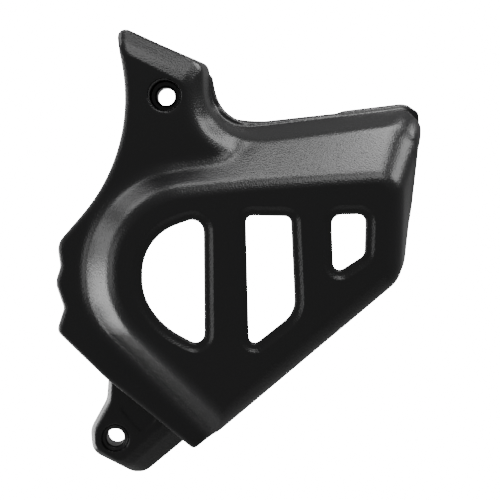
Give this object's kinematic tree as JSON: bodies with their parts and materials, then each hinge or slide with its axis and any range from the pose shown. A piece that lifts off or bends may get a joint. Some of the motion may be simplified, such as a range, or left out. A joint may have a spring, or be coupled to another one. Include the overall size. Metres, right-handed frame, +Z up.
{
  "type": "motorcycle sprocket cover",
  "caption": "Hollow moulded guard for a motorcycle's front sprocket, with a raised panel, windows, a tall ear and a low lug, held by two bolts",
  "frame": {"origin": "midway between the axes of the two bolts, on the plane that the bosses bear on", "axes": "+Z up as the cover sits on the engine, +X to the right seen from outside, +Y from the outer face to the engine"},
  "size_m": [0.1234, 0.036, 0.1528],
  "materials": {
    "cover_plastic": "fine spark-eroded grain, satin"
  },
  "bodies": {
    "root": {"sprocket_cover": "cover_plastic"}
  },
  "joints": []
}
